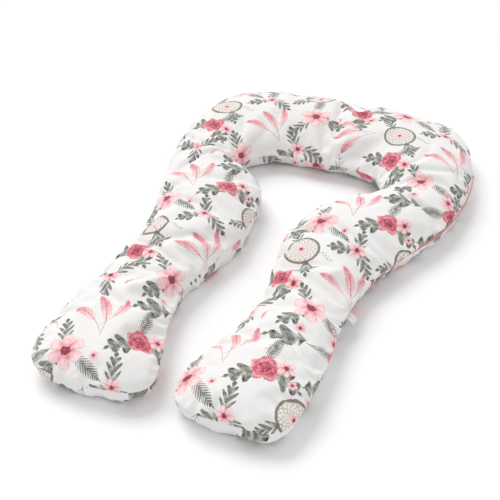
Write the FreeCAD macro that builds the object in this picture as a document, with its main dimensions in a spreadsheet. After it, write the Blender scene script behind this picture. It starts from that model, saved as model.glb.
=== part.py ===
import FreeCAD, Part
import math
import os

# A long U-shaped nursing pillow that rests on the floor: a back bar along X and two legs toward -Y.
# Millimetres, +Z up, the floor at Z = 0, the origin under the middle of the bar.

os.makedirs("parts", exist_ok=True)
document = FreeCAD.newDocument("nursing_pillow")
V = FreeCAD.Vector

# ---------------------------------------------------------------- sizes

SIZES = [
    ("seam_height", 45.0, "height of the side seam above the floor"),
    ("crown_factor", 1.0, "how plump the pillow is, 1 is the made shape"),
    ("cover_cloth", 0.8, "thickness of the printed cotton cover"),
    ("cloth_gap", 0.4, "slack between two cloth layers"),
    ("liner_cloth", 0.5, "thickness of the plain inner liner"),
    ("seam_gap", 0.2, "gap between the top and bottom panel at the seam"),
    ("neck_x", 306.0, "distance of the neck centre from the middle"),
    ("neck_y", -134.0, "position of the neck centre along Y"),
    ("socket_radius", 167.0, "radius of the hollow in the bar round the leg head"),
    ("right_bend", -9.8, "how far the right leg is bent in, degrees"),
    ("left_bend", 4.6, "how far the left leg is bent in, degrees"),
    ("left_foot_extra", 22.0, "how much wider the left foot is on its inner side"),
    ("zipper_centre_x", -370.6, "centre of the zipper arc along X"),
    ("zipper_centre_y", -291.8, "centre of the zipper arc along Y"),
    ("zipper_radius", 793.0, "radius of the arc that the zipper follows"),
    ("zipper_start", -23.9, "angle of the closed end of the zipper"),
    ("zipper_sweep", 40.4, "angle that the zipper covers"),
    ("tape_depth", 10.0, "width of one zipper tape"),
    ("tape_cloth", 0.6, "thickness of a zipper tape"),
    ("coil_height", 1.4, "height of one row of zipper coil"),
    ("coil_depth", 2.4, "depth of the zipper coil"),
    ("coil_gap", 0.8, "gap between the two rows of coil"),
    ("slider_length", 12.0, "length of the slider"),
    ("slider_height", 9.0, "height of the slider"),
    ("pin_radius", 0.8, "radius of the pin that carries the pull tab"),
    ("eye_clearance", 0.1, "radial clearance of the eye on the pin"),
    ("pull_length", 25.0, "length of the pull tab below its pin"),
    ("pull_width", 9.0, "width of the pull tab"),
    ("label_width", 30.0, "width of the folded label along the seam"),
    ("label_reach", 20.0, "how far the label stands out"),
    ("label_cloth", 0.3, "thickness of the label tape"),
]

sizes = document.addObject("Spreadsheet::Sheet", "Sizes")
for row, (alias, value, meaning) in enumerate(SIZES, start=1):
    sizes.set("A%d" % row, alias)
    sizes.set("B%d" % row, str(value))
    sizes.set("C%d" % row, meaning)
    sizes.setAlias("B%d" % row, alias)
document.recompute()

# ---------------------------------------------------------------- outline

# Right leg, straight: position along Y, inner edge, outer edge, half height of the section.
# The first rows are its round head, the last rows are its squared foot.
LEG_STATIONS = [
    (24, 268, 350, 34),
    (12, 237, 358, 50),
    (-12, 201, 368, 62),
    (-45, 171, 377, 68),
    (-90, 149, 390, 71),
    (-134, 146, 402, 72),
    (-190, 178, 411, 70),
    (-250, 215, 417, 66),
    (-300, 244, 418, 63),
    (-325, 222, 417, 64),
    (-350, 178, 416, 67),
    (-385, 138, 413, 70),
    (-440, 111, 404, 72),
    (-520, 100, 382, 71),
    (-600, 106, 353, 66),
    (-660, 122, 344, 61),
    (-700, 138, 350, 58),
    (-750, 155, 360, 57),
    (-830, 172, 376, 57),
    (-920, 176, 395, 61),
    (-1010, 165, 409, 67),
    (-1075, 152, 414, 69),
    (-1115, 149, 409, 66),
    (-1142, 160, 390, 55),
    (-1162, 186, 356, 36),
    (-1172, 226, 312, 16),
]

# Right half of the bar: position along X, front edge, back edge, half height of the section.
BAR_STATIONS = [
    (0, -158, 136, 74),
    (60, -154, 139, 74),
    (115, -160, 142, 74),
    (160, -180, 142, 74),
    (200, -220, 141, 74),
    (240, -240, 137, 74),
    (285, -240, 126, 72),
    (325, -225, 98, 66),
    (355, -195, 60, 56),
    (378, -150, 8, 36),
]

CAP_NEAR_LEG_HEAD = 3
CAP_NEAR_FOOT = 22


def bind(thing, **expressions):
    for name, expression in expressions.items():
        thing.setExpression(name.replace("__", "."), expression)


def box(name, length, width, height, corner):
    thing = document.addObject("Part::Box", name)
    thing.Length = length
    thing.Width = width
    thing.Height = height
    thing.Placement.Base = V(*corner)
    return thing


def cut(name, base, tool):
    thing = document.addObject("Part::Cut", name)
    thing.Base = base
    thing.Tool = tool
    return thing


def common(name, base, tool):
    thing = document.addObject("Part::Common", name)
    thing.Base = base
    thing.Tool = tool
    return thing


def fuse(name, pieces):
    thing = document.addObject("Part::MultiFuse", name)
    thing.Shapes = pieces
    return thing


# Depth of each layer under the outer face of the cover.
LAYERS = [
    ("skin", "0"),
    ("cover_inside", "Sizes.cover_cloth"),
    ("liner_outside", "Sizes.cover_cloth + Sizes.cloth_gap"),
    ("liner_inside", "Sizes.cover_cloth + Sizes.cloth_gap + Sizes.liner_cloth"),
    ("stuffing", "Sizes.cover_cloth + 2 * Sizes.cloth_gap + Sizes.liner_cloth"),
]

ACROSS_LEG = FreeCAD.Rotation(V(1, 0, 0), V(0, 0, 1), V(0, -1, 0), "XYZ")
ACROSS_BAR = FreeCAD.Rotation(V(0, 1, 0), V(0, 0, 1), V(1, 0, 0), "XYZ")


def section(name, spot, turn, half_width, half_height, depth):
    """One oval slice of the pillow, standing upright at the side seam's height."""
    oval = document.addObject("Part::Ellipse", name)
    oval.Placement = FreeCAD.Placement(V(spot[0], spot[1], 45), turn)
    bind(oval, MajorRadius="%g - (%s)" % (half_width, depth))
    bind(oval, MinorRadius="%g * Sizes.crown_factor - (%s)" % (half_height, depth))
    bind(oval, Placement__Base__z="Sizes.seam_height")
    return oval


def leg_blank(side, mirror, layer, depth):
    ovals = []
    for number, (along, inner, outer, half_height) in enumerate(LEG_STATIONS):
        if side == "left":
            inner -= sizes.left_foot_extra * min(1.0, max(0.0, (-880 - along) / 160.0))
        middle = mirror * (inner + outer) / 2.0
        name = "%s_%s_slice_%02d" % (side, layer, number)
        oval = section(name, (middle, along), ACROSS_LEG, (outer - inner) / 2.0, half_height, depth)
        if number < CAP_NEAR_LEG_HEAD:
            bind(oval, Placement__Base__y="%g - (%s)" % (along, depth))
        if number > CAP_NEAR_FOOT:
            bind(oval, Placement__Base__y="%g + (%s)" % (along, depth))
        ovals.append(oval)
    blank = document.addObject("Part::Loft", "%s_%s" % (side, layer))
    blank.Sections = ovals
    blank.Solid = True
    return blank


def bar_blank(layer, depth):
    ovals = []
    last = len(BAR_STATIONS) - 1
    for number in range(-last, last + 1):
        along, front, back, half_height = BAR_STATIONS[abs(number)]
        along = along if number >= 0 else -along
        name = "bar_%s_slice_%02d" % (layer, number + last)
        spot = (along, (front + back) / 2.0)
        ovals.append(section(name, spot, ACROSS_BAR, (back - front) / 2.0, half_height, depth))
    blank = document.addObject("Part::Loft", "bar_%s" % layer)
    blank.Sections = ovals
    blank.Solid = True
    return blank


def above(name, height):
    """Everything above a level, used to lay the pillow flat on the floor."""
    slab = box(name, 1200, 1800, 400, (-600, -1500, 0))
    bind(slab, Placement__Base__z=height)
    return slab


floor_cuts = {}
for layer, depth in LAYERS:
    floor_cuts[layer] = above("above_%s" % layer, depth)

# The leg panels stop inside the neck, so their cloth is open there; the bar panels run on to the back.
PANEL_BACK = {"bar": 300, "left_leg": 10, "right_leg": 10}
halves = {}
for place, back in PANEL_BACK.items():
    upper = box("%s_upper_half" % place, 1200, 1490 + back, 300, (-600, -1490, 0))
    bind(upper, Placement__Base__z="Sizes.seam_height + Sizes.seam_gap / 2")
    lower = box("%s_lower_half" % place, 1200, 1490 + back, 100, (-600, -1490, -50))
    bind(lower, Height="50 + Sizes.seam_height - Sizes.seam_gap / 2")
    halves[place] = (upper, lower)

sockets = []
for side, mirror in (("left", -1), ("right", 1)):
    hollow = document.addObject("Part::Cylinder", "%s_socket" % side)
    hollow.Height = 400
    hollow.Placement.Base = V(mirror * 306, -134, -100)
    bind(hollow, Radius="Sizes.socket_radius", Placement__Base__x="%d * Sizes.neck_x" % mirror)
    bind(hollow, Placement__Base__y="Sizes.neck_y")
    sockets.append(hollow)

nodes = []


def node(thing, label, pose=None):
    thing.Label = label
    if pose is not None:
        thing.Placement = pose
    nodes.append(thing)


def layered_body(place, make_blank, finish, pose):
    """Both cover panels, both liner panels and the stuffing of one stretch of the pillow."""
    whole = {}
    for layer, depth in LAYERS:
        blank = make_blank(layer, depth)
        whole[layer] = common("%s_%s_flat" % (place, layer), blank, floor_cuts[layer])
    cover = cut("%s_cover_shell" % place, whole["skin"], whole["cover_inside"])
    upper, lower = halves[place]
    cover_top = common("%s_cover_top" % place, cover, upper)
    cover_bottom = common("%s_cover_bottom" % place, cover, lower)
    liner = cut("%s_liner_shell" % place, whole["liner_outside"], whole["liner_inside"])
    liner_top = common("%s_liner_top" % place, liner, upper)
    liner_bottom = common("%s_liner_bottom" % place, liner, lower)
    node(finish(cover_top), "cover_top_%s" % place, pose)
    node(finish(cover_bottom), "cover_bottom_%s" % place, pose)
    node(finish(liner_top), "liner_top_%s" % place, pose)
    node(finish(liner_bottom), "liner_bottom_%s" % place, pose)
    node(finish(whole["stuffing"]), "filling_%s" % place, pose)


# ---------------------------------------------------------------- bar

def hollow_ends(thing):
    first = cut(thing.Name + "_one_socket", thing, sockets[0])
    return cut(thing.Name + "_both_sockets", first, sockets[1])


layered_body("bar", bar_blank, hollow_ends, None)

# ---------------------------------------------------------------- legs


def bent_pose(mirror, angle):
    neck = V(mirror * sizes.neck_x, sizes.neck_y, 0)
    return FreeCAD.Placement(V(0, 0, 0), FreeCAD.Rotation(V(0, 0, 1), angle), neck)


def left_blank(layer, depth):
    return leg_blank("left", -1, layer, depth)


def right_blank(layer, depth):
    return leg_blank("right", 1, layer, depth)


def as_made(thing):
    return thing


left_pose = bent_pose(-1, sizes.left_bend)
right_pose = bent_pose(1, sizes.right_bend)
layered_body("left_leg", left_blank, as_made, left_pose)
layered_body("right_leg", right_blank, as_made, right_pose)

# ---------------------------------------------------------------- zipper


def arc_strip(name, inner, outer, bottom, height, start, sweep):
    """A strip that follows the zipper arc, between two radii measured from the arc."""
    big = document.addObject("Part::Cylinder", name + "_big")
    small = document.addObject("Part::Cylinder", name + "_small")
    turn = FreeCAD.Rotation(V(0, 0, 1), start)
    for disc, offset in ((big, outer), (small, inner)):
        disc.Placement = FreeCAD.Placement(V(-370.6, -291.8, 0), turn)
        disc.Angle = sweep
        bind(disc, Radius="Sizes.zipper_radius + (%s)" % offset, Height=height)
        bind(disc, Placement__Base__x="Sizes.zipper_centre_x", Placement__Base__y="Sizes.zipper_centre_y")
        bind(disc, Placement__Base__z=bottom)
    return cut(name, big, small)


def zipper_point(angle):
    turned = math.radians(angle)
    reach = sizes.zipper_radius
    x = sizes.zipper_centre_x + reach * math.cos(turned)
    y = sizes.zipper_centre_y + reach * math.sin(turned)
    return V(x, y, sizes.seam_height)


tape_reach = ("-Sizes.tape_cloth / 2", "Sizes.tape_cloth / 2")
coil_reach = ("-Sizes.coil_depth / 2", "Sizes.coil_depth / 2")
coil_foot = "Sizes.seam_height + Sizes.coil_gap / 2"
coil_tip = "Sizes.seam_height - Sizes.coil_gap / 2 - Sizes.coil_height"
tape_foot = coil_foot + " + Sizes.coil_height + 0.1"
tape_tip = coil_tip + " - Sizes.tape_depth - 0.1"
start = sizes.zipper_start
sweep = sizes.zipper_sweep

tape_upper = arc_strip("tape_upper", *tape_reach, tape_foot, "Sizes.tape_depth", start - 0.9, sweep + 1.4)
tape_lower = arc_strip("tape_lower", *tape_reach, tape_tip, "Sizes.tape_depth", start - 0.9, sweep + 1.4)
coil_upper = arc_strip("coil_upper", *coil_reach, coil_foot, "Sizes.coil_height", start - 0.5, sweep + 0.5)
coil_lower = arc_strip("coil_lower", *coil_reach, coil_tip, "Sizes.coil_height", start - 0.5, sweep + 0.5)
node(tape_upper, "zipper_tape_upper", right_pose)
node(tape_lower, "zipper_tape_lower", right_pose)
node(coil_upper, "zipper_coil_upper", right_pose)
node(coil_lower, "zipper_coil_lower", right_pose)

stop_foot = "Sizes.seam_height - 1.7"
closed_stop = arc_strip("closed_stop", *coil_reach, stop_foot, "3.4", start - 0.82, 0.24)
open_stop = arc_strip("open_stop", *coil_reach, stop_foot, "3.4", start + sweep + 0.08, 0.24)
node(closed_stop, "zipper_stop_closed_end", right_pose)
node(open_stop, "zipper_stop_open_end", right_pose)

# ---------------------------------------------------------------- slider and pull tab

# The slider is drawn at its own origin: local X runs along the zipper, local Y points outward.


def on_zipper(angle):
    facing = FreeCAD.Rotation(V(0, 0, 1), angle - 90)
    seat = FreeCAD.Placement(zipper_point(angle), facing)
    return right_pose.multiply(seat)


slider_seat = on_zipper(start)


def slider_plate(name, near, thick):
    plate = document.addObject("Part::Box", name)
    plate.Width = thick
    plate.Placement.Base = V(-6, near, -4.5)
    bind(plate, Length="Sizes.slider_length", Height="Sizes.slider_height")
    bind(plate, Placement__Base__x="-Sizes.slider_length / 2")
    bind(plate, Placement__Base__z="-Sizes.slider_height / 2")
    return plate


front_plate = slider_plate("front_plate", 1.5, 1.4)
back_plate = slider_plate("back_plate", -2.3, 0.8)
web = box("slider_web", 8, 4.2, 0.5, (-4, -1.9, -0.25))
lugs = []
for number, near in enumerate((-3.2, 1.8)):
    lugs.append(box("slider_lug_%d" % number, 1.4, 4.2, 3.6, (near, 2.5, -2.8)))
pin = document.addObject("Part::Cylinder", "slider_pin")
pin.Height = 5.4
pin.Placement = FreeCAD.Placement(V(-2.7, 5.6, -1), FreeCAD.Rotation(V(0, 1, 0), 90))
bind(pin, Radius="Sizes.pin_radius")
slider = fuse("slider_body", [front_plate, back_plate, web, pin] + lugs)
node(slider, "zipper_slider", slider_seat)

eye = document.addObject("Part::Cylinder", "pull_eye")
eye.Radius = 1.7
eye.Height = 3.0
eye.Placement = FreeCAD.Placement(V(-1.5, 5.6, -1), FreeCAD.Rotation(V(0, 1, 0), 90))
eye_hole = document.addObject("Part::Cylinder", "pull_eye_hole")
eye_hole.Height = 6.0
eye_hole.Placement = FreeCAD.Placement(V(-3, 5.6, -1), FreeCAD.Rotation(V(0, 1, 0), 90))
bind(eye_hole, Radius="Sizes.pin_radius + Sizes.eye_clearance")
stem = box("pull_stem", 3, 1.2, 6, (-1.5, 5.0, -8.0))
tab = box("pull_plate", 6, 1.2, 14, (-3, 5.0, -20))
bind(tab, Length="Sizes.pull_width * 2 / 3", Placement__Base__x="-Sizes.pull_width / 3")
tab_end = document.addObject("Part::Cylinder", "pull_end")
tab_end.Height = 1.2
tab_end.Placement = FreeCAD.Placement(V(0, 6.2, -21.5), FreeCAD.Rotation(V(1, 0, 0), 90))
bind(tab_end, Radius="Sizes.pull_width / 2", Placement__Base__z="Sizes.pull_width / 2 - 1 - Sizes.pull_length")
tab_hole = document.addObject("Part::Cylinder", "pull_hole")
tab_hole.Radius = 2.2
tab_hole.Height = 4
tab_hole.Placement = FreeCAD.Placement(V(0, 7.6, -21.5), FreeCAD.Rotation(V(1, 0, 0), 90))
bind(tab_hole, Placement__Base__z="Sizes.pull_width / 2 - 1 - Sizes.pull_length")
pull_solid = fuse("pull_solid", [eye, stem, tab, tab_end])
pull_drilled = cut("pull_drilled", pull_solid, eye_hole)
pull_tab = cut("pull_tab", pull_drilled, tab_hole)
node(pull_tab, "zipper_pull_tab", slider_seat)

# ---------------------------------------------------------------- label

# A blank folded loop of tape that stands out of the side seam of the right leg.
LABEL_SPOT = V(361.8, -750, 0)
label_seat = FreeCAD.Placement(V(LABEL_SPOT.x, LABEL_SPOT.y, sizes.seam_height), FreeCAD.Rotation(V(0, 0, 1), 8))


def loop_solid(name, half):
    """A flat bar with one round edge: the outside or the inside of the folded loop."""
    flat = document.addObject("Part::Box", name + "_flat")
    flat.Placement.Base = V(0, -15, -0.9)
    bind(flat, Length="Sizes.label_reach", Width="Sizes.label_width", Height="2 * (%s)" % half)
    bind(flat, Placement__Base__y="-Sizes.label_width / 2", Placement__Base__z="-(%s)" % half)
    fold = document.addObject("Part::Cylinder", name + "_fold")
    fold.Placement = FreeCAD.Placement(V(20, 15, 0), FreeCAD.Rotation(V(1, 0, 0), 90))
    bind(fold, Radius=half, Height="Sizes.label_width")
    bind(fold, Placement__Base__x="Sizes.label_reach", Placement__Base__y="Sizes.label_width / 2")
    return fuse(name, [flat, fold])


loop_outside = loop_solid("loop_outside", "0.6 + Sizes.label_cloth")
loop_inside = loop_solid("loop_inside", "0.6")
label = cut("label_loop", loop_outside, loop_inside)
node(label, "side_label", right_pose.multiply(label_seat))

# ---------------------------------------------------------------- check and write

document.recompute()
for thing in document.Objects:
    trouble = [word for word in thing.State if word in ("Invalid", "Error")]
    if trouble:
        raise RuntimeError("%s is %s" % (thing.Name, trouble))


def meshed_volume(shape):
    """Volume inside a fine mesh of the shape, which thin curved shells need for a true figure."""
    corners, triangles = shape.tessellate(0.4)
    total = 0.0
    for i, j, k in triangles:
        total += corners[i].dot(corners[j].cross(corners[k])) / 6.0
    return total


for thing in nodes:
    shape = thing.Shape
    if shape.isNull() or not shape.isValid():
        raise RuntimeError("%s has a bad shape" % thing.Label)
    volume = meshed_volume(shape)
    if volume <= 0:
        raise RuntimeError("%s has no volume" % thing.Label)
    shape.exportStep("parts/%s.step" % thing.Label)
    bounds = shape.BoundBox
    print(
        "%-24s %9.1f cm3  %d solids  x %7.1f %7.1f  y %8.1f %7.1f  z %6.1f %6.1f"
        % (thing.Label, volume / 1000.0, len(shape.Solids), bounds.XMin, bounds.XMax,
           bounds.YMin, bounds.YMax, bounds.ZMin, bounds.ZMax)
    )
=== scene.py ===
import math

import bpy
import numpy as np
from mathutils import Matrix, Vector
from mathutils.geometry import delaunay_2d_cdt


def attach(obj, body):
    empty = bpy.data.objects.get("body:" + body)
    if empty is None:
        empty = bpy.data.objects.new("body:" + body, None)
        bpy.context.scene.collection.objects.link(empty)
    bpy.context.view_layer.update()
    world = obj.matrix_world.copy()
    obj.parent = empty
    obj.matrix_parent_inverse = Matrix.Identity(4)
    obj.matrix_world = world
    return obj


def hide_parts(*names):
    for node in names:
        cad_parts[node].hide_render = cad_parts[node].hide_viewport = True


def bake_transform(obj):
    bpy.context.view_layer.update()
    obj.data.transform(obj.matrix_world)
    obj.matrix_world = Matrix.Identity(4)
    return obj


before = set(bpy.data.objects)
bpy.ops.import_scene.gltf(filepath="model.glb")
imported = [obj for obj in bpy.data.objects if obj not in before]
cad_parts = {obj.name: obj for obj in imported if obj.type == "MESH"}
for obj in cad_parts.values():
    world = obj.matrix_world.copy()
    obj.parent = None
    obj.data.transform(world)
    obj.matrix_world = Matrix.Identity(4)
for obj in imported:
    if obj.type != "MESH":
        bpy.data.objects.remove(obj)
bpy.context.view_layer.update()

# A U-shaped nursing pillow lying on the floor. Metres, +Z up, back bar along X, legs toward -Y.

MM = 0.001
SEAM_HEIGHT = 0.045
NECK = {"left": (-0.306, -0.134), "right": (0.306, -0.134)}
BENT_IN = {"left": 4.6, "right": -9.8}

# ---------------------------------------------------------------- outline

# The side seam seen from above, in millimetres, from the middle of the back round to the right.
RIGHT_HALF = [
    (0, 136), (90, 140), (190, 141), (272, 131), (328, 99), (366, 46), (388, -18), (401, -82),
    (407, -150), (406, -222), (396, -300), (376, -372), (346, -442), (317, -500), (293, -556),
    (274, -612), (262, -680), (256, -750), (259, -830), (266, -925), (265, -1030), (255, -1105),
    (238, -1141), (205, -1157), (142, -1160), (80, -1158), (38, -1149), (8, -1126), (-4, -1085),
    (2, -1030), (24, -960), (49, -890), (64, -780), (49, -676), (33, -578), (40, -481), (64, -398),
    (103, -340), (144, -305), (178, -284),
]
RIGHT_NOTCH = (204, -266)
FRONT_OF_BAR = [
    (194, -234), (178, -202), (150, -175), (112, -159), (57, -153), (0, -157), (-57, -154),
    (-112, -159), (-150, -175), (-178, -202), (-194, -234),
]
LEFT_NOTCH = (-203, -266)
LEFT_HALF = [
    (-176, -286), (-138, -303), (-101, -343), (-78, -408), (-67, -498), (-68, -595), (-91, -692),
    (-112, -793), (-102, -911), (-74, -1009), (-50, -1085), (-56, -1126), (-92, -1153),
    (-160, -1163), (-220, -1163), (-285, -1152), (-322, -1126), (-338, -1075), (-337, -1004),
    (-327, -890), (-309, -767), (-300, -653), (-314, -548), (-348, -425), (-380, -300),
    (-400, -180), (-403, -90), (-388, -18), (-366, 46), (-328, 99), (-272, 131), (-190, 141),
    (-90, 140),
]


SPACING = 7.0
CURVE_STEPS = 24


def smooth_run(points, spacing):
    """Points at an even spacing along a smooth curve through the given points."""
    p = np.array(points, float)
    p = np.vstack([2 * p[0] - p[1], p, 2 * p[-1] - p[-2]])
    dense = []
    for a, b, c, d in zip(p, p[1:], p[2:], p[3:]):
        for t in np.linspace(0, 1, CURVE_STEPS, endpoint=False):
            dense.append(0.5 * (2 * b + (c - a) * t + (2 * a - 5 * b + 4 * c - d) * t * t
                                + (3 * b - a - 3 * c + d) * t ** 3))
    dense.append(p[-2])
    dense = np.array(dense)
    walked = np.r_[0, np.cumsum(np.hypot(*np.diff(dense, axis=0).T))]
    count = max(2, int(round(walked[-1] / spacing)))
    even = np.linspace(0, walked[-1], count + 1)
    return np.c_[np.interp(even, walked, dense[:, 0]), np.interp(even, walked, dense[:, 1])]


def outline(spacing):
    """The whole side seam as evenly spaced points, in metres, with sharp inner corners."""
    right = smooth_run(RIGHT_HALF + [RIGHT_NOTCH], spacing)
    front = smooth_run([RIGHT_NOTCH] + FRONT_OF_BAR + [LEFT_NOTCH], spacing)
    left = smooth_run([LEFT_NOTCH] + LEFT_HALF + [RIGHT_HALF[0]], spacing)
    return np.vstack([right[:-1], front[:-1], left[:-1]]) * MM


edge = outline(SPACING)
EDGE_COUNT = len(edge)
ahead = np.roll(edge, -1, axis=0) - np.roll(edge, 1, axis=0)
ahead /= np.linalg.norm(ahead, axis=1)[:, None]
outward = np.c_[-ahead[:, 1], ahead[:, 0]]
walk = np.linalg.norm(np.roll(edge, -1, axis=0) - edge, axis=1)
edge_along = np.r_[0, np.cumsum(walk)[:-1]]
BATCH = 2000


def inside(points):
    """True for each point inside the outline."""
    x, y = points[:, 0][:, None], points[:, 1][:, None]
    x1, y1 = edge[:, 0], edge[:, 1]
    x2, y2 = np.roll(x1, -1), np.roll(y1, -1)
    straddles = (y1 > y) != (y2 > y)
    crossing = x1 + (y - y1) * (x2 - x1) / np.where(y2 == y1, 1e-12, y2 - y1)
    return (np.sum(straddles & (x < crossing), axis=1) % 2) == 1


def distance_to_edge(points):
    """How far each point is from the side seam."""
    a, b = edge, np.roll(edge, -1, axis=0)
    ab = b - a
    result = np.empty(len(points))
    for first in range(0, len(points), BATCH):
        p = points[first:first + BATCH]
        t = np.clip(((p[:, None] - a) * ab).sum(2) / (ab ** 2).sum(1), 0, 1)
        gap = np.linalg.norm(p[:, None] - (a + t[..., None] * ab), axis=2)
        result[first:first + BATCH] = gap.min(1)
    return result


# ---------------------------------------------------------------- flat panel mesh

RINGS = [0.8 * MM, 3.0 * MM, 6.5 * MM, 11.0 * MM, 16.5 * MM]
RING_CLEARANCE = 0.86
GRID = 8.5 * MM
ROW_STEP = 0.866 * GRID
GRID_CLEARANCE = 0.55 * GRID


def panel_points():
    """The seam, a few rings of points close inside it, and an even grid of triangles in the middle."""
    found = [edge]
    for depth in RINGS:
        ring = edge - outward * depth
        keep = inside(ring) & (distance_to_edge(ring) > RING_CLEARANCE * depth)
        found.append(ring[keep])
    low, high = edge.min(0), edge.max(0)
    rows = []
    for number, y in enumerate(np.arange(low[1], high[1], ROW_STEP)):
        x = np.arange(low[0], high[0], GRID) + (number % 2) * GRID / 2
        rows.append(np.c_[x, np.full(len(x), y)])
    grid = np.vstack(rows)
    on_middle_line = np.abs(grid[:, 0]) < 0.3 * GRID
    grid[on_middle_line, 0] = 0.0
    grid = grid[inside(grid)]
    found.append(grid[distance_to_edge(grid) > RINGS[-1] + GRID_CLEARANCE])
    return np.vstack(found)


def flat_panel():
    """The flat cover panel: its points, its faces and where each seam point is among the points."""
    points = panel_points()
    loops = [list(range(EDGE_COUNT))[::-1]]
    out = delaunay_2d_cdt([Vector(p) for p in points], [], loops, 1, 1e-7)
    verts = np.array([tuple(v) for v in out[0]])
    faces = np.array([f for f in out[2]])
    seam = np.empty(EDGE_COUNT, int)
    for number, sources in enumerate(out[3]):
        for source in sources:
            if source < EDGE_COUNT:
                seam[source] = number
    a, b, c = verts[faces[:, 0]], verts[faces[:, 1]], verts[faces[:, 2]]
    area = np.cross(b - a, c - a)
    faces[area < 0] = faces[area < 0][:, ::-1]
    return verts, faces, seam


flat, flat_faces, edge_index = flat_panel()
COUNT = len(flat)


# ---------------------------------------------------------------- inflated shape

SOLVER_ROUNDS = 900
SOLVER_LIMIT = 1e-10


def solve_height(points, faces, fixed):
    """The height of a soap film under even pressure, zero at the seam, and its slope at each point."""
    i, j, k = faces.T
    rows, cols, weights = [], [], []
    twice_area = np.abs(np.cross(points[j] - points[i], points[k] - points[i]))
    load = np.zeros(len(points))
    for a, b, c in ((i, j, k), (j, k, i), (k, i, j)):
        u, v = points[a] - points[c], points[b] - points[c]
        half_cotangent = (u * v).sum(1) / np.maximum(np.abs(np.cross(u, v)), 1e-12) / 2
        rows += [a, b]
        cols += [b, a]
        weights += [half_cotangent, half_cotangent]
        load += np.bincount(a, twice_area / 6, len(points))
    rows, cols, weights = map(np.concatenate, (rows, cols, weights))
    diagonal = np.bincount(rows, weights, len(points))
    free = ~fixed

    def apply(x):
        return (diagonal * x - np.bincount(rows, weights * x[cols], len(points))) * free

    height = np.zeros(len(points))
    residual = load * free
    precondition = free / np.maximum(diagonal, 1e-9)
    z = residual * precondition
    direction = z.copy()
    energy = residual @ z
    for _ in range(SOLVER_ROUNDS):
        pushed = apply(direction)
        step = energy / max(direction @ pushed, 1e-30)
        height += step * direction
        residual -= step * pushed
        if np.abs(residual).max() < SOLVER_LIMIT:
            break
        z = residual * precondition
        fresh = residual @ z
        direction = z + direction * (fresh / energy)
        energy = fresh
    height = np.maximum(height, 0)
    slope = np.zeros((len(points), 2))
    share = np.zeros(len(points))
    for a, b, c in ((i, j, k), (j, k, i), (k, i, j)):
        opposite = points[c] - points[b]
        turned = np.c_[-opposite[:, 1], opposite[:, 0]] * height[a][:, None] / twice_area[:, None]
        for corner in (i, j, k):
            for axis in (0, 1):
                slope[:, axis] += np.bincount(corner, turned[:, axis] * twice_area, len(points))
    for corner in (i, j, k):
        share += np.bincount(corner, twice_area, len(points))
    return height, slope / share[:, None]


on_edge = np.zeros(COUNT, bool)
on_edge[edge_index] = True
film, film_slope = solve_height(flat, flat_faces, on_edge)
swell = np.sqrt(2 * film)
reach = np.sqrt(2 * film + (film_slope ** 2).sum(1))

# How round the top and the bottom are: 1 would be a full circle across a leg.
CROWN = 0.505
BELLY = 0.74

LEGS_APART_BELOW = -0.30
GAP_BETWEEN_FEET = -0.027

# Where the cloth at each neck stops following the bar, and where it follows only the leg.
BLEND_START = (0.212, -0.040)
BLEND_END = (0.400, -0.228)
BLEND_RUN = (BLEND_END[0] - BLEND_START[0], BLEND_END[1] - BLEND_START[1])

# How much the print moves toward the seam where the cloth leans, and where it stands nearly upright.
LEAN_EXTRA = 0.06
UPRIGHT_EXTRA = 0.14


def right_side(points):
    """True for the right half. The right foot reaches a little past the middle, so there the gap divides."""
    return points[:, 0] >= np.where(points[:, 1] < LEGS_APART_BELOW, GAP_BETWEEN_FEET, 0.0)


def leg_share(x, y):
    """How much a point follows the leg on its side: 0 in the bar, 1 past the neck."""
    x, y = np.asarray(x, float), np.asarray(y, float)
    t = np.clip((((np.abs(x) - BLEND_START[0]) * BLEND_RUN[0] + (y - BLEND_START[1]) * BLEND_RUN[1])
                 / (BLEND_RUN[0] ** 2 + BLEND_RUN[1] ** 2)), 0, 1)
    return t * t * (3 - 2 * t)


def pattern_place(points):
    """Where each point of the finished pillow lies on the flat cloth, with the legs straight."""
    place = points.copy()
    for side in ("left", "right"):
        mine = right_side(points) == (side == "right")
        share = leg_share(points[:, 0], points[:, 1])
        turn = np.radians(-BENT_IN[side]) * share
        px, py = NECK[side]
        x, y = points[:, 0] - px, points[:, 1] - py
        turned = np.c_[px + x * np.cos(turn) - y * np.sin(turn), py + x * np.sin(turn) + y * np.cos(turn)]
        place[mine] = turned[mine]
    lean = np.sqrt((film_slope ** 2).sum(1)) / np.maximum(reach, 1e-6)
    extra = LEAN_EXTRA * lean ** 2 + UPRIGHT_EXTRA * lean ** 10
    way = -film_slope / np.maximum(np.linalg.norm(film_slope, axis=1), 1e-6)[:, None]
    return place + way * (extra * reach)[:, None]


cloth_place = pattern_place(flat)


# ---------------------------------------------------------------- folds sewn and pressed into the cloth

def wavy(position, pitch, seed):
    """An uneven wave between -1 and 1 with crests about one pitch apart."""
    a = np.sin(position / pitch * 2 * np.pi + 2.1 * np.sin(position / pitch * 1.7 + seed))
    b = np.sin(position / pitch * 2 * np.pi * 0.61 + seed * 3.7)
    return 0.65 * a + 0.35 * b


nearest = np.empty(COUNT, int)
to_edge = np.empty(COUNT)
for first in range(0, COUNT, BATCH):
    gap = np.linalg.norm(flat[first:first + BATCH, None] - edge, axis=2)
    nearest[first:first + BATCH] = gap.argmin(1)
    to_edge[first:first + BATCH] = gap.min(1)
along = edge_along[nearest]


def tucks(position, pitch, seed):
    """Round gathers with sharp creases between them: 0 in a crease, 1 on a crest."""
    phase = position / pitch * np.pi + 0.9 * np.sin(position / pitch * 1.9 + seed)
    uneven = 0.72 + 0.28 * np.sin(position / pitch * 1.1 + 2 * seed)
    return np.abs(np.sin(phase)) ** 0.55 * uneven


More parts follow.
